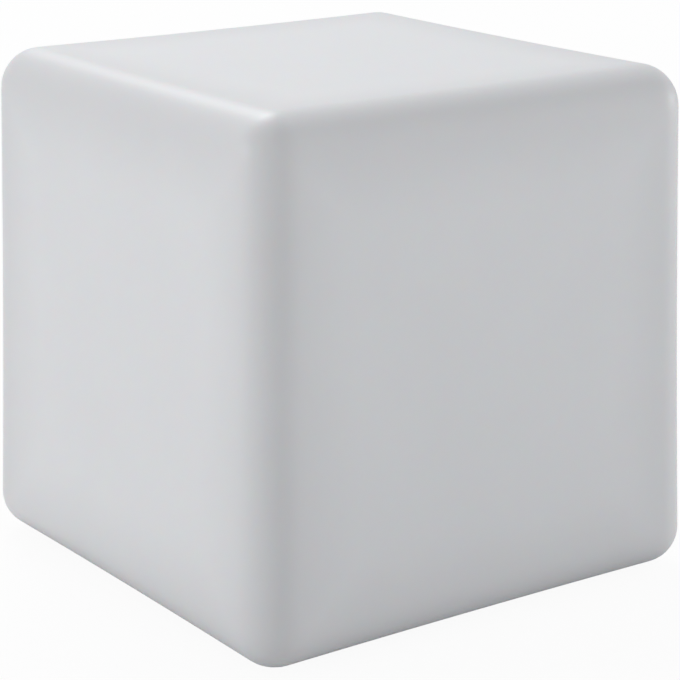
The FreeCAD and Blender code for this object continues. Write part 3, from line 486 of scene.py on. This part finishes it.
@dataclass
class CubeShell:
    """The hollow moulded cube with the well and the foot dimples in its base."""

    base_width: float = 0.4105
    top_width: float = 0.3885
    height: float = 0.397
    stand: float = 0.0025
    edge_radius: float = 0.032
    edge_bow: float = 0.0006
    face_dish: float = 0.0032
    wall: float = 0.0045
    cuts: int = 73
    smoothing: float = 50.0
    hole_share: float = 0.96
    well_radius: float = 0.092
    well_reach: float = 0.038
    mouth_round: float = 0.004
    mouth_lift: float = 0.0001
    mouth_steps: int = 5
    ceiling: float = 0.018
    ceiling_corner: float = 0.0015
    corner_share: float = 0.3
    opening_radius: float = 0.0655
    foot_offset: float = 0.150
    dimple_radius: float = 0.0132
    dimple_reach: float = 1.6
    dimple_inner: float = 0.5
    dimple_level: float = 0.0055

    def build(self) -> None:
        """Model the shell and hand it over."""
        deselect()
        bpy.ops.mesh.primitive_cube_add(size=2.0)
        skin = rename(bpy.context.object, "cube_skin")
        bpy.ops.object.mode_set(mode="EDIT")
        bpy.ops.mesh.select_all(action="SELECT")
        bpy.ops.mesh.subdivide(number_cuts=self.cuts)
        deselect()
        for vertex in skin.data.vertices:
            vertex.co = self.dished(self.rounded(vertex.co))
        self._sink_well(skin)
        for x in (-self.foot_offset, self.foot_offset):
            for y in (-self.foot_offset, self.foot_offset):
                self._sink_dimple(skin, x, y)
        pick(skin)
        bpy.ops.object.mode_set(mode="EDIT")
        bpy.ops.mesh.select_all(action="SELECT")
        bpy.ops.mesh.normals_make_consistent(inside=False)
        deselect()
        solid = skin.modifiers.new("wall", "SOLIDIFY")
        solid.thickness = self.wall
        solid.offset = -1.0
        solid.use_even_offset = True
        apply_modifiers(skin)
        smooth(skin, self.smoothing)
        hand_over(skin, POLYETHYLENE, Rider.UNIT, "cube_shell")

    def rounded(self, point: Vector) -> Vector:
        """Bring a point of the plain block, from -1 to 1 each way, onto rounded edges."""
        radius = 2.0 * self.edge_radius / self.middle_width
        core = Vector([max(radius - 1.0, min(1.0 - radius, value)) for value in point])
        return core + (point - core).normalized() * radius

    @property
    def middle_width(self) -> float:
        """Width of the cube at half its height."""
        return (self.base_width + self.top_width) / 2.0

    def pull(self, first: float, second: float) -> float:
        """How far a face is drawn in at a place on it, from -1 to 1 each way."""
        one = (1.0 - first * first) / 2.0
        two = (1.0 - second * second) / 2.0
        edges = one * (1.0 - two) + (1.0 - one) * two
        return 2.0 * self.edge_bow * edges + 4.0 * (self.face_dish - self.edge_bow) * one * two

    def dished(self, point: Vector) -> Vector:
        """Bring a point of the rounded block to its drafted, dished place."""
        across, along, up = point
        half = (self.middle_width + (self.top_width - self.base_width) * up / 2.0) / 2.0
        return Vector((across * (half - self.pull(along, up)),
                       along * (half - self.pull(across, up)),
                       self.stand + self.height / 2.0
                       + up * (self.height / 2.0 - self.pull(across, along))))

    def underside(self, x: float, y: float) -> float:
        """Height of the base's outer surface over a place."""
        half = self.base_width / 2.0
        return self.stand + self.pull(x / half, y / half)

    def _open_round(self, skin: bpy.types.Object, x: float, y: float, radius: float,
                    reach: float) -> None:
        """Open a round hole in the base's grid and leave its rim selected in edit mode.

        Args:
            skin: The shell.
            x: The hole's place.
            y: The hole's place.
            radius: The hole's radius.
            reach: How far from the middle the grid is bent to suit the circle.
        """
        pick(skin)
        vertices = skin.data.vertices
        below = self.stand + 2.0 * self.face_dish
        inner = radius * self.hole_share
        block = {n for face in skin.data.polygons for n in face.vertices
                 if face.center.z < below
                 and max(abs(face.center.x - x), abs(face.center.y - y)) < inner}
        side = max(abs(vertices[n].co.x - x) for n in block)
        for vertex in vertices:
            away = Vector((vertex.co.x - x, vertex.co.y - y))
            distance = max(abs(away.x), abs(away.y))
            if vertex.co.z > below or not side * 0.99 <= distance < reach:
                continue
            share = (distance - side) / (reach - side)
            ease = 1.0 - share * share * (3.0 - 2.0 * share)
            place = away.lerp(away.normalized() * (radius + distance - side), ease)
            vertex.co.x, vertex.co.y = x + place.x, y + place.y
            vertex.co.z = self.underside(vertex.co.x, vertex.co.y)
        self._mark(skin, block)
        bpy.ops.object.mode_set(mode="EDIT")
        bpy.ops.mesh.select_mode(type="VERT")
        bpy.ops.mesh.delete(type="FACE")
        bpy.ops.object.mode_set(mode="OBJECT")
        self._mark(skin, {
            vertex.index for vertex in skin.data.vertices if vertex.co.z < below
            and abs(math.hypot(vertex.co.x - x, vertex.co.y - y) - radius) < 0.02 * radius})
        bpy.ops.object.mode_set(mode="EDIT")

    @staticmethod
    def _mark(skin: bpy.types.Object, chosen: set[int]) -> None:
        """Select these vertices, and the edges and faces that lie wholly among them."""
        for vertex in skin.data.vertices:
            vertex.select = vertex.index in chosen
        for element in (*skin.data.edges, *skin.data.polygons):
            element.select = set(element.vertices) <= chosen

    @staticmethod
    def _draw_rim(skin: bpy.types.Object, x: float, y: float, steps: Iterable[Sequence[float]]
                  ) -> None:
        """Extrude the selected rim through steps of radius and height."""
        for radius, level in steps:
            bpy.ops.mesh.extrude_edges_move(TRANSFORM_OT_translate={"value": (0.0, 0.0, MM)})
            bpy.ops.object.mode_set(mode="OBJECT")
            for vertex in skin.data.vertices:
                if vertex.select:
                    way = Vector((vertex.co.x - x, vertex.co.y - y)).normalized()
                    vertex.co = (x + way.x * radius, y + way.y * radius, level)
            bpy.ops.object.mode_set(mode="EDIT")

    def _sink_well(self, skin: bpy.types.Object) -> None:
        """Sink the round well, its mouth rounded and its ceiling open in the middle."""
        mouth = self.well_radius + self.mouth_round
        self._open_round(skin, 0.0, 0.0, mouth, mouth + self.well_reach)
        level = self.underside(mouth, 0.0) + self.mouth_lift
        steps = []
        for step in range(1, self.mouth_steps + 1):
            angle = step / self.mouth_steps * math.pi / 2.0
            steps.append((mouth - self.mouth_round * math.sin(angle),
                          level + self.mouth_round * (1.0 - math.cos(angle))))
        corner, inset = self.ceiling_corner, self.corner_share * self.ceiling_corner
        steps += [(self.well_radius, self.ceiling - corner),
                  (self.well_radius - inset, self.ceiling - inset),
                  (self.well_radius - corner, self.ceiling),
                  (self.opening_radius, self.ceiling)]
        self._draw_rim(skin, 0.0, 0.0, steps)
        deselect()

    def _sink_dimple(self, skin: bpy.types.Object, x: float, y: float) -> None:
        """Sink one round dimple for a foot."""
        self._open_round(skin, x, y, self.dimple_radius, self.dimple_reach * self.dimple_radius)
        self._draw_rim(skin, x, y, [(self.dimple_radius, self.dimple_level),
                                    (self.dimple_radius * self.dimple_inner,
                                     self.dimple_level)])
        bpy.ops.mesh.edge_face_add()
        deselect()


# ---------------------------------------------------------------- light unit, from below


@dataclass(frozen=True)
class Screw:
    """Sizes of a cross-head screw that points up, in millimetres, and its ring, in metres."""

    name: str
    node: str
    ring: float
    count: int
    head: float
    depth: float
    shank: float
    length: float = 14.0


@dataclass
class UnitBase:
    """The white base of the light unit, its screws and the rubber feet of the cube."""

    outline: Outline = ((0.0, 17.5), (44.0, 17.5), (44.0, 13.0), (84.0, 13.0), (84.0, 10.0),
                        (87.0, 10.0), (88.0, 11.0), (88.0, 17.0), (60.0, 17.0), (60.0, 28.0),
                        (57.0, 28.0), (57.0, 17.0), (47.0, 17.0), (47.0, 20.5), (0.0, 20.5))
    foot_outline: Outline = ((0.0, 1.2), (6.5, 1.2), (6.5, 0.0), (8.2, 0.0), (8.2, 0.6),
                             (8.9, 0.6), (8.9, 0.0), (10.4, 0.0), (10.4, 0.6), (11.0, 0.6),
                             (11.0, 0.0), (11.8, 0.0), (13.0, 1.2), (13.0, 5.5), (0.0, 5.5))
    post_outline: Outline = ((1.1, 28.0), (3.0, 28.0), (3.0, 17.0), (1.1, 17.0), (1.1, 28.0))
    rounding: float = 0.0005
    foot_rounding: float = 0.00015
    foot_offset: float = 0.150
    seat: float = 0.013
    panel_drill: tuple[float, float] = (0.016, 0.022)
    flange_drill: tuple[float, float] = (0.012, 0.018)
    screw_play: float = 0.25
    screw_smoothing: float = 30.0
    screws: tuple[Screw, ...] = (
        Screw("unit_screw_heads", "unit_screws", 0.079, 6, 4.6, 2.7, 2.5),
        Screw("body_screw_heads", "body_screws", 0.052, 4, 2.75, 2.0, 1.5))
    holes: dict[str, tuple[float, float, float]] = field(default_factory=lambda: {
        "switch": (0.00815, 0.0, 0.0), "socket": (0.00415, -0.026, 0.0),
        "window": (0.004, 0.026, 0.0), "pipe": (0.0015, 0.020, 0.017)})
    post_places: tuple[tuple[float, float], ...] = ((0.019, 0.027), (0.019, -0.027),
                                                    (0.039, 0.027), (0.039, -0.027))

    def build(self) -> None:
        """Model the base, the screw heads and the feet."""
        self._build_plate()
        for screw in self.screws:
            hand_over(self._drive(screw), STEEL, Rider.UNIT, screw.node)
        self._build_feet()

    def _build_plate(self) -> None:
        """Turn the base, bore its holes and stand the board's posts on it."""
        plate = round_edges(turn("unit_plate", scaled(self.outline), steps=144), self.rounding)
        drills = [rod(f"drill_{name}", radius, *self.panel_drill, x, y)
                  for name, (radius, x, y) in self.holes.items()]
        for screw in self.screws:
            drills += [rod(f"drill_{screw.name}_{n}", (screw.shank + self.screw_play) * MM,
                           *self.flange_drill, x, y)
                       for n, (x, y) in enumerate(ring_places(screw.ring, screw.count))]
        combine(plate, join("drills", drills), "DIFFERENCE")
        posts = [turn(f"post_{n}", scaled(self.post_outline), place, steps=24)
                 for n, place in enumerate(self.post_places)]
        plate = join("unit_plate", posts + [plate])
        hand_over(smooth(plate), WHITE_PLASTIC, Rider.UNIT, "unit_base")

    def _drive(self, screw: Screw) -> bpy.types.Object:
        """Model one screw with a domed head and a cross in it, and copy it round its ring.

        Args:
            screw: The screw's sizes.

        Returns:
            The joined screws.
        """
        head, depth, shank = screw.head, screw.depth, screw.shank
        low = self.seat / MM - depth
        dome = scaled(((0.0, low), (0.5 * head, low + 0.08 * depth),
                       (0.8 * head, low + 0.3 * depth), (0.95 * head, low + 0.6 * depth),
                       (head, low + depth), (shank, low + depth),
                       (shank, low + depth + screw.length), (0.0, low + depth + screw.length)))
        one = turn(f"{screw.name}_one", dome, steps=40)
        long, narrow, deep = 1.15 * head * MM, 0.24 * head * MM, depth * MM
        for size in ((long, narrow, deep), (narrow, long, deep)):
            combine(one, bar("cross", size, (0.0, 0.0, low * MM)), "DIFFERENCE")
        smooth(one, self.screw_smoothing)
        copies = [copied(one, Vector((x, y, 0.0)))
                  for x, y in ring_places(screw.ring, screw.count)]
        bpy.data.objects.remove(one, do_unlink=True)
        return join(screw.name, copies)

    def _build_feet(self) -> None:
        """Turn one ribbed foot and copy it to the four corners."""
        foot = round_edges(turn("foot_one", scaled(self.foot_outline), steps=64),
                           self.foot_rounding, 2)
        smooth(foot)
        spots = [(x, y) for x in (-self.foot_offset, self.foot_offset)
                 for y in (-self.foot_offset, self.foot_offset)]
        copies = [copied(foot, Vector((x, y, 0.0))) for x, y in spots]
        bpy.data.objects.remove(foot, do_unlink=True)
        hand_over(join("foot_pads", copies), RUBBER, Rider.UNIT, "rubber_feet")


@dataclass
class Controls:
    """Push switch, charging socket cover, infrared window and status light."""

    switch_outline: Outline = ((6.8, 15.5), (9.8, 15.5), (10.5, 16.1), (10.5, 17.0), (8.0, 17.0),
                               (8.0, 30.0), (0.0, 30.0), (0.0, 28.5), (2.3, 28.5), (2.3, 23.5),
                               (6.8, 23.5), (6.8, 15.5))
    button_outline: Outline = ((0.0, 14.5), (3.6, 14.42), (5.4, 14.25), (6.0, 14.2), (6.3, 14.3),
                               (6.5, 14.6), (6.5, 18.2), (2.0, 18.2), (2.0, 26.0), (0.0, 26.0))
    window_outline: Outline = ((0.0, 16.7), (3.0, 16.74), (4.7, 16.9), (5.3, 17.15), (5.5, 17.5),
                               (4.0, 17.5), (4.0, 20.5), (0.0, 20.5))
    pipe_outline: Outline = ((0.0, 17.0), (0.8, 17.08), (1.3, 17.3), (1.5, 17.6), (1.5, 26.6),
                             (0.0, 26.6))
    cover_outline: Outline = ((0.0, 13.65), (3.4, 13.65), (3.8, 13.4), (5.2, 13.4), (5.8, 13.9),
                              (5.8, 14.7), (5.5, 15.0), (2.2, 15.0), (2.2, 16.7), (1.9, 17.0),
                              (0.0, 17.0))
    socket_x: float = -0.026
    window_x: float = 0.026
    pipe_place: tuple[float, float] = (0.020, 0.017)
    hinge_x: float = -0.034
    hinge_z: float = 0.0142
    knuckle_radius: float = 0.00125
    knuckle_length: float = 0.0028
    pin_bore: float = 0.00072
    neck_height: float = 0.0012
    bezel_rounding: float = 0.00015
    mark_outline: Outline = ((2.5, 14.3), (3.05, 14.3), (3.05, 14.6), (2.5, 14.6), (2.5, 14.3))
    mark_gap: float = 70.0
    mark_bar: tuple[float, float, float] = (0.00055, 0.0026, 0.0003)
    mark_bar_y: float = 0.0025
    mark_level: float = 0.0143

    def build(self) -> None:
        """Model the controls in the panel."""
        barrel = round_edges(turn("switch_bezel", scaled(self.switch_outline)),
                             self.bezel_rounding, 2)
        hand_over(smooth(barrel), STEEL, Rider.UNIT, "switch_barrel")
        cap = turn("button_cap", scaled(self.button_outline), steps=72)
        hand_over(smooth(cap), STEEL, Rider.BUTTON, "power_button")
        self._build_mark()
        lens = turn("window_lens", scaled(self.window_outline), (self.window_x, 0.0), 64)
        hand_over(smooth(lens), WINDOW, Rider.UNIT, "ir_window")
        pipe = turn("status_pipe", scaled(self.pipe_outline), self.pipe_place, 32)
        hand_over(smooth(pipe), PIPE, Rider.UNIT, "status_light_pipe")
        self._build_cover()

    def _build_mark(self) -> None:
        """A plain on-off mark on the cap: a ring with a gap, and a bar in the gap."""
        gap = math.radians(self.mark_gap)
        arc = turn("mark_arc", scaled(self.mark_outline), steps=40, sweep=math.tau - gap)
        arc.data.transform(Matrix.Rotation(math.pi / 2.0 + gap / 2.0, 4, "Z"))
        stem = bar("mark_bar", self.mark_bar,
                   (0.0, self.mark_bar_y, self.mark_level + self.mark_bar[2] / 2.0))
        hand_over(join("button_mark", [arc, stem]), MARK, Rider.BUTTON)

    def _build_cover(self) -> None:
        """Model the socket's soft cover with its stub, neck and hinge knuckle."""
        cover = turn("socket_cover", scaled(self.cover_outline), (self.socket_x, 0.0), 64)
        neck_length = self.socket_x - self.hinge_x
        neck = bar("neck", (neck_length, self.knuckle_length, self.neck_height),
                   (self.hinge_x + neck_length / 2.0, 0.0, self.hinge_z))
        combine(cover, neck, "UNION")
        combine(cover, self._knuckle("knuckle", self.knuckle_radius, self.knuckle_length), "UNION")
        combine(cover, self._knuckle("bore", self.pin_bore, 2.0 * self.knuckle_length),
                "DIFFERENCE")
        hand_over(smooth(cover), RUBBER, Rider.COVER, "jack_cover")

    def _knuckle(self, name: str, radius: float, length: float) -> bpy.types.Object:
        """A round bar along the hinge."""
        deselect()
        bpy.ops.mesh.primitive_cylinder_add(
            vertices=32, radius=radius, depth=length, rotation=(math.pi / 2.0, 0.0, 0.0),
            location=(self.hinge_x, 0.0, self.hinge_z))
        return settle(rename(bpy.context.object, name))


@dataclass
class LightEngine:
    """The diffuser dome over the LEDs, inside the cube."""

    dome_radius: float = 0.056
    dome_height: float = 0.024
    dome_wall: float = 0.0025
    dome_base: float = 0.068
    flange_radius: float = 0.060
    flange_under: float = 0.066
    arc_points: int = 16

    def build(self) -> None:
        """Model the dome."""
        outer = self._arc(self.dome_radius, self.dome_height)
        inner = self._arc(self.dome_radius - self.dome_wall, self.dome_height - self.dome_wall)
        mouth = self.dome_radius - self.dome_wall
        outline = outer + [(self.flange_radius, self.dome_base),
                           (self.flange_radius, self.flange_under), (mouth, self.flange_under)]
        outline += inner[::-1]
        dome = turn("dome_lens", outline, steps=96)
        hand_over(smooth(dome), DIFFUSER, Rider.UNIT, "diffuser_dome")

    def _arc(self, radius: float, height: float) -> list[tuple[float, float]]:
        """An arc of a ball from the crown down to the base."""
        ball = (radius * radius + height * height) / (2.0 * height)
        widest = math.asin(radius / ball)
        angles = [widest * n / self.arc_points for n in range(self.arc_points + 1)]
        return [(ball * math.sin(angle),
                 self.dome_base + height - ball * (1.0 - math.cos(angle))) for angle in angles]


# ---------------------------------------------------------------- studio


@dataclass(frozen=True)
class Lamp:
    """A large soft area lamp that looks at the cube."""

    name: str
    place: tuple[float, float, float]
    size: float
    power: float

    def build(self, aim: Vector) -> None:
        """Hang the lamp and turn it to its aim."""
        data = bpy.data.lights.new(self.name, "AREA")
        data.shape = "DISK"
        data.size = self.size
        data.energy = self.power
        lamp = bpy.data.objects.new(self.name, data)
        lamp.location = self.place
        lamp.rotation_euler = (aim - lamp.location).to_track_quat("-Z", "Y").to_euler()
        bpy.context.collection.objects.link(lamp)


@dataclass
class Studio:
    """Camera, floor, sky and lamps."""

    azimuth: float = -35.41
    elevation: float = 16.15
    distance: float = 1.8312
    aside: float = -0.00556
    above: float = 0.02744
    lens: float = 123.27
    sensor: float = 36.0
    centre_height: float = 0.20125
    floor_size: float = 14.0
    floor_colour: tuple[float, float, float] = (0.8, 0.8, 0.8)
    floor_share: float = 0.06
    sky_strength: float = 0.61
    sky_colour: tuple[float, float, float] = (0.97, 0.985, 1.0)
    lamps: tuple[Lamp, ...] = (
        Lamp("left_lamp", (-7.0, 3.6, 2.0), 3.0, 131.0),
        Lamp("right_lamp", (7.5, -2.5, 1.0), 3.0, 131.0),
        Lamp("rear_lamp", (1.4, 5.0, 6.0), 3.0, 212.0),
    )

    def build(self) -> None:
        """Set up the studio round the cube."""
        self._build_camera()
        self._build_floor()
        self._build_sky()
        for lamp in self.lamps:
            lamp.build(Vector((0.0, 0.0, self.centre_height)))
        bpy.context.scene.view_settings.view_transform = "Standard"

    def _build_camera(self) -> None:
        """Set the camera where the cube's outline in the photograph puts it."""
        turn_angle, tilt = math.radians(self.azimuth), math.radians(self.elevation)
        right = Vector((math.cos(turn_angle), math.sin(turn_angle), 0.0))
        back = Vector((math.sin(turn_angle) * math.cos(tilt),
                       -math.cos(turn_angle) * math.cos(tilt), math.sin(tilt)))
        up = back.cross(right)
        place = Vector((0.0, 0.0, self.centre_height)) - (
            right * self.aside + up * self.above - back * self.distance)
        data = bpy.data.cameras.new("view_camera")
        data.lens = self.lens
        data.sensor_width = self.sensor
        data.sensor_fit = "HORIZONTAL"
        camera = bpy.data.objects.new("view_camera", data)
        axes = Matrix((right, up, back)).transposed().to_4x4()
        camera.matrix_world = Matrix.Translation(place) @ axes
        bpy.context.collection.objects.link(camera)
        bpy.context.scene.camera = camera

    def _build_floor(self) -> None:
        """Lay a pale floor that shows nearly white and keeps the cube's shadow."""
        deselect()
        bpy.ops.mesh.primitive_plane_add(size=self.floor_size)
        floor = rename(bpy.context.object, "studio_floor")
        made = bpy.data.materials.new("studio_floor")
        made.use_nodes = True
        nodes, links = made.node_tree.nodes, made.node_tree.links
        nodes.clear()
        matt = nodes.new("ShaderNodeBsdfDiffuse")
        matt.inputs["Color"].default_value = (*self.floor_colour, 1.0)
        white = nodes.new("ShaderNodeEmission")
        white.inputs["Strength"].default_value = 1.0
        share = nodes.new("ShaderNodeMath")
        share.operation = "MULTIPLY"
        share.inputs[1].default_value = 1.0 - self.floor_share
        links.new(self._seen_rays(nodes, links), share.inputs[0])
        mix = nodes.new("ShaderNodeMixShader")
        links.new(share.outputs[0], mix.inputs["Fac"])
        links.new(matt.outputs[0], mix.inputs[1])
        links.new(white.outputs[0], mix.inputs[2])
        out = nodes.new("ShaderNodeOutputMaterial")
        links.new(mix.outputs[0], out.inputs["Surface"])
        floor.data.materials.append(made)

    def _build_sky(self) -> None:
        """An even sky that shows white to the camera and through glass, and soft to the rest."""
        world = bpy.data.worlds.new("studio_sky")
        bpy.context.scene.world = world
        world.use_nodes = True
        nodes, links = world.node_tree.nodes, world.node_tree.links
        nodes.clear()
        soft = nodes.new("ShaderNodeBackground")
        soft.inputs["Color"].default_value = (*self.sky_colour, 1.0)
        soft.inputs["Strength"].default_value = self.sky_strength
        white = nodes.new("ShaderNodeBackground")
        white.inputs["Strength"].default_value = 1.0
        white.inputs["Color"].default_value = (1.0, 1.0, 1.0, 1.0)
        mix = nodes.new("ShaderNodeMixShader")
        links.new(self._seen_rays(nodes, links), mix.inputs["Fac"])
        links.new(soft.outputs[0], mix.inputs[1])
        links.new(white.outputs[0], mix.inputs[2])
        out = nodes.new("ShaderNodeOutputWorld")
        links.new(mix.outputs[0], out.inputs["Surface"])

    @staticmethod
    def _seen_rays(nodes: bpy.types.Nodes, links: bpy.types.NodeLinks) -> bpy.types.NodeSocket:
        """One for a ray from the camera or through glass, and nought for the rest.

        Args:
            nodes: The tree's nodes.
            links: The tree's links.

        Returns:
            The socket with the larger of the two.
        """
        ray = nodes.new("ShaderNodeLightPath")
        either = nodes.new("ShaderNodeMath")
        either.operation = "MAXIMUM"
        links.new(ray.outputs["Is Camera Ray"], either.inputs[0])
        links.new(ray.outputs["Is Transmission Ray"], either.inputs[1])
        return either.outputs[0]


# ---------------------------------------------------------------- assembly


def dress_nodes(nodes: dict[str, bpy.types.Object], finishes: dict[str, Finish]) -> None:
    """Give each carried-over node its finish.

    Args:
        nodes: The frame's nodes by name.
        finishes: The finish of each node that stays in view.
    """
    for name, finish in finishes.items():
        mesh = nodes[name].data
        mesh.materials.clear()
        mesh.materials.append(finish.material())
        LOG.info("%s: %s", name, finish.name)


def main() -> None:
    """Build the cube light round its frame, part by part."""
    logging.basicConfig(level=logging.INFO, format="%(name)s: %(message)s")
    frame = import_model()
    dress_nodes(frame["nodes"], NODE_FINISHES)
    builders: Sequence[Callable[[], None]] = (
        CubeShell().build, UnitBase().build, Controls().build, LightEngine().build,
        Studio().build)
    for build in builders:
        build()
    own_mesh(frame["nodes"]["button_bellows"])


if __name__ == "__main__":
    main()
